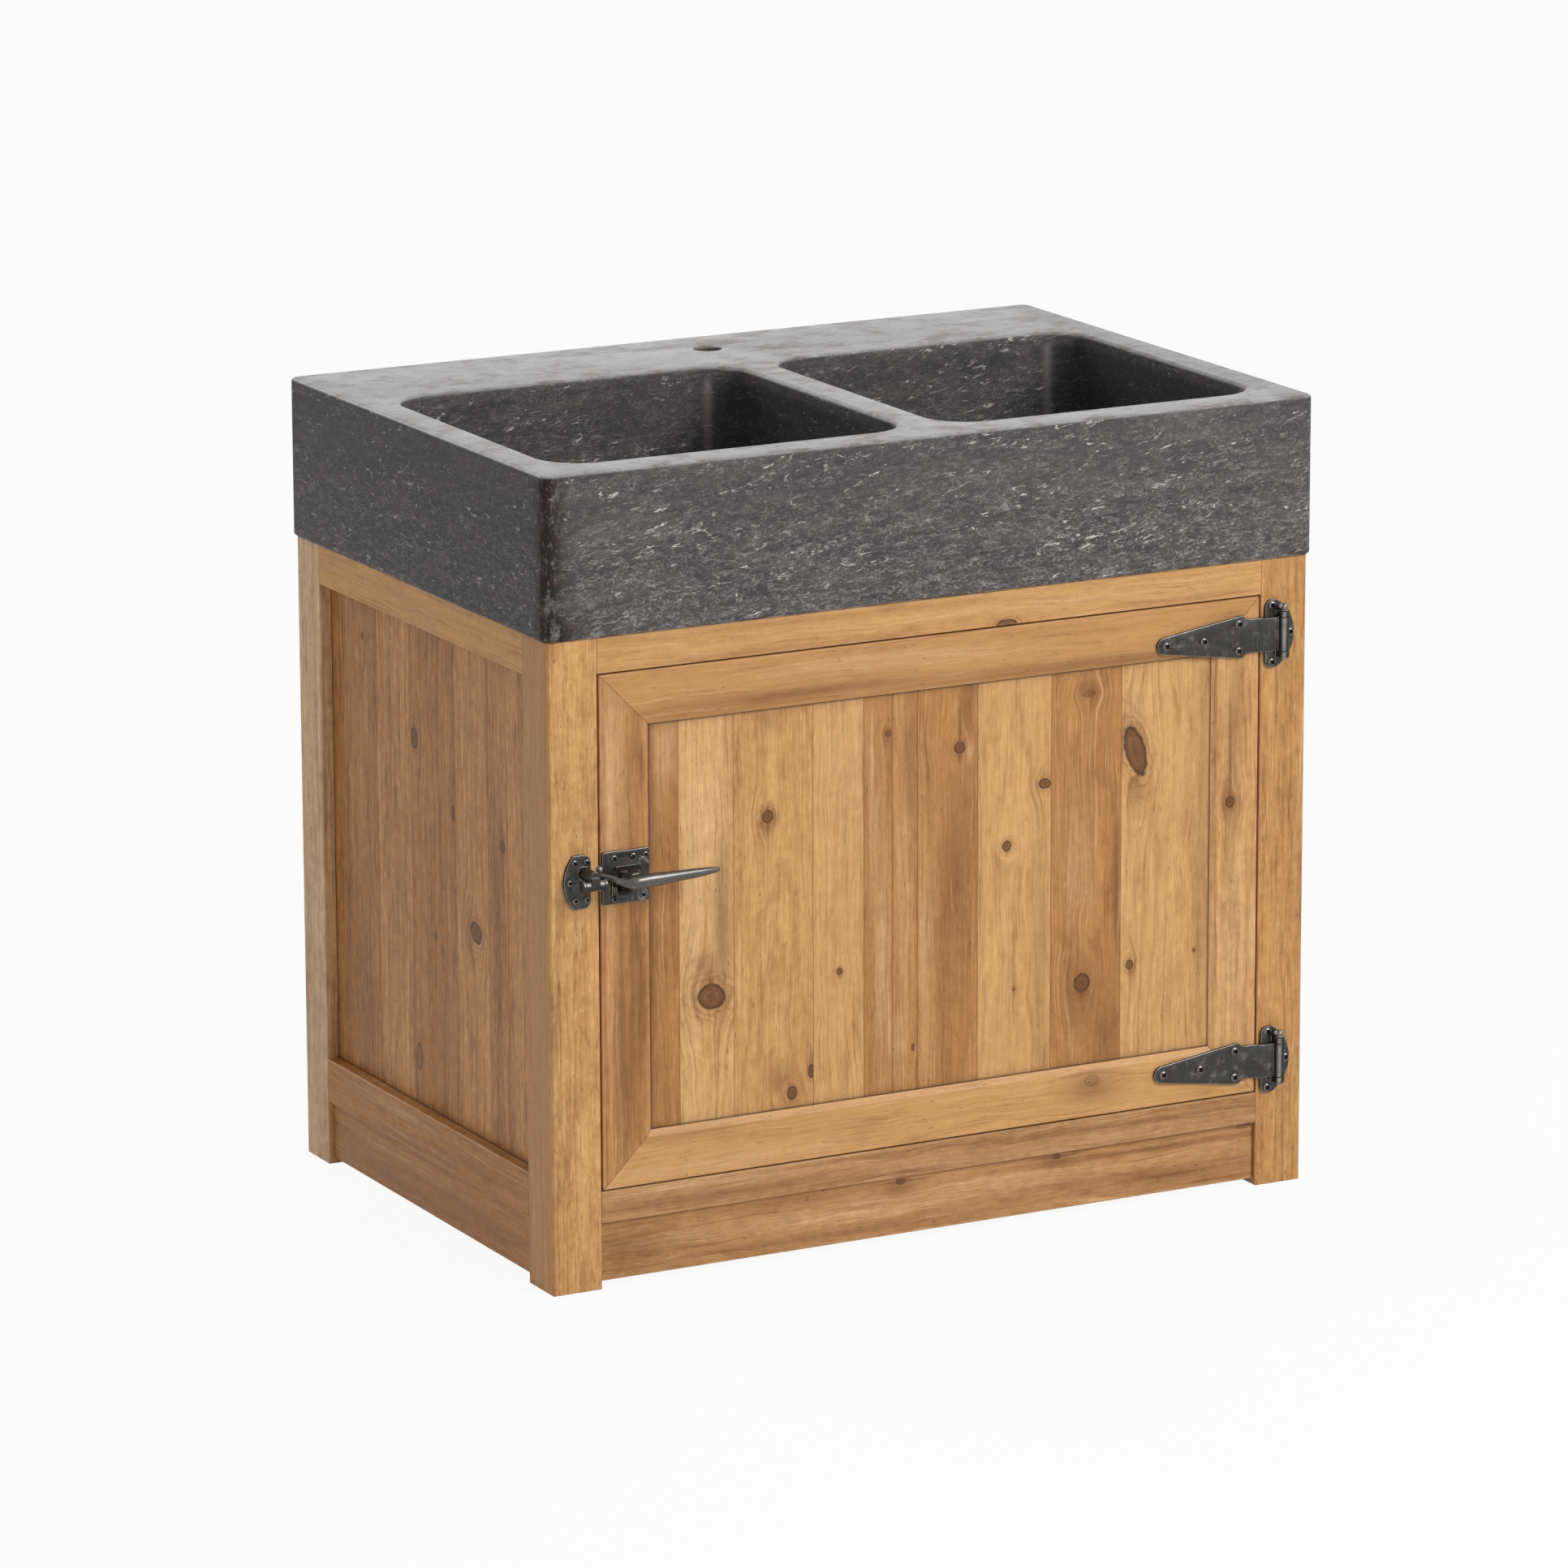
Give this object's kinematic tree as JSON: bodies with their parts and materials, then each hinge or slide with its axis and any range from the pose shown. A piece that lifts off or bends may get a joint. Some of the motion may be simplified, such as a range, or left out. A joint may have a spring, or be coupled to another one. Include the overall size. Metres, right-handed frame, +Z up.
{
  "type": "kitchen sink cabinet",
  "caption": "Free-standing pine sink cabinet with a two-bowl stone sink on top and one inset door on strap hinges with a lever latch.",
  "frame": {"origin": "on the floor, at the middle of the whole object's box", "axes": "+X to the right seen from the front, +Y from the door to the back, +Z up"},
  "size_m": [1, 0.7217, 0.95],
  "materials": {
    "stone": "honed dark limestone with pale veins",
    "pine": "waxed reclaimed pine",
    "inner_pine": "bare pine",
    "black_iron": "blackened iron with rubbed edges",
    "worn_iron": "hand-polished iron"
  },
  "bodies": {
    "cabinet": {"stone_sink": "stone", "post_front_left": "pine", "post_front_right": "pine", "post_rear_left": "pine", "post_rear_right": "pine", "front_top_rail": "pine", "front_low_rail": "pine", "front_plinth": "pine", "left_top_rail": "pine", "left_low_rail": "pine", "left_plinth": "pine", "left_panel": "pine", "right_top_rail": "pine", "right_low_rail": "pine", "right_plinth": "pine", "right_panel": "pine", "rear_top_rail": "inner_pine", "rear_low_rail": "inner_pine", "sink_bearer": "inner_pine", "floor_boards": "inner_pine", "floor_ledger_left": "inner_pine", "floor_ledger_right": "inner_pine", "door_stop": "inner_pine", "hinge_plate_upper": "black_iron", "hinge_plate_lower": "black_iron", "hinge_pin_upper": "black_iron", "hinge_pin_lower": "black_iron", "hinge_plate_screws": "black_iron", "strike": "black_iron", "strike_screws": "black_iron"},
    "door": {"door_stile_left": "pine", "door_stile_right": "pine", "door_rail_top": "pine", "door_rail_bottom": "pine", "door_panel": "pine", "hinge_strap_upper": "black_iron", "hinge_strap_lower": "black_iron", "strap_screws": "black_iron", "latch_plate": "black_iron", "latch_screws": "black_iron", "latch_pivot_pin": "black_iron", "latch_spring": "black_iron"},
    "lever": {"latch_lever": "worn_iron", "catch_pin": "worn_iron"}
  },
  "joints": [
    {"name": "door_swing", "type": "hinge", "parent": "cabinet", "child": "door", "pos_m": [0.4575, -0.32565, 0.413], "axis": [0, 0, 1], "range_deg": [0, 170]},
    {"name": "lever_pull", "type": "hinge", "parent": "door", "child": "lever", "pos_m": [-0.416, -0.34415, 0.482], "axis": [0, 0, -1], "range_deg": [0, 28], "stiffness_Nm_per_rad": 0.4, "springref_deg": -22.92}
  ]
}
